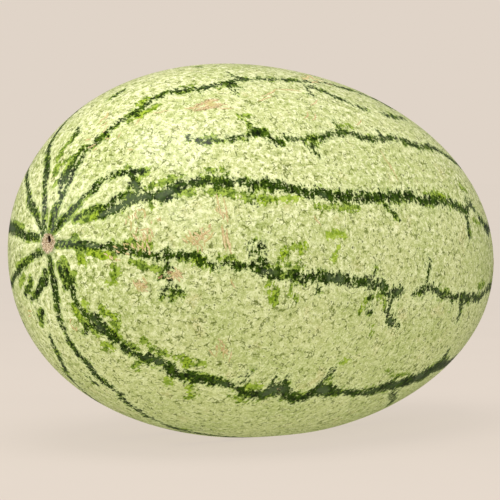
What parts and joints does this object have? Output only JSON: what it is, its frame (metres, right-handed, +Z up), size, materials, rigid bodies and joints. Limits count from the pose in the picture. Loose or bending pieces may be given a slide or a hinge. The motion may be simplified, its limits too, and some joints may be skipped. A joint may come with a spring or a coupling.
{
  "type": "watermelon",
  "caption": "Whole oblong watermelon lying on a small flat spot, with broken dark stripes on a pale rind, a blossom scar at one end and a cut stem stub at the other.",
  "frame": {"origin": "middle of the whole object's box, at the height of the surface it lies on", "axes": "+Z up, +X along the fruit towards the stem end, -X towards the raised blossom end"},
  "size_m": [0.3578, 0.224, 0.2232],
  "materials": {
    "rind": "waxy pale green rind with broken dark green stripes",
    "dry_stem": "dry, matt, fibrous"
  },
  "bodies": {
    "root": {"fruit": "rind", "stem_stub": "dry_stem"}
  },
  "joints": []
}
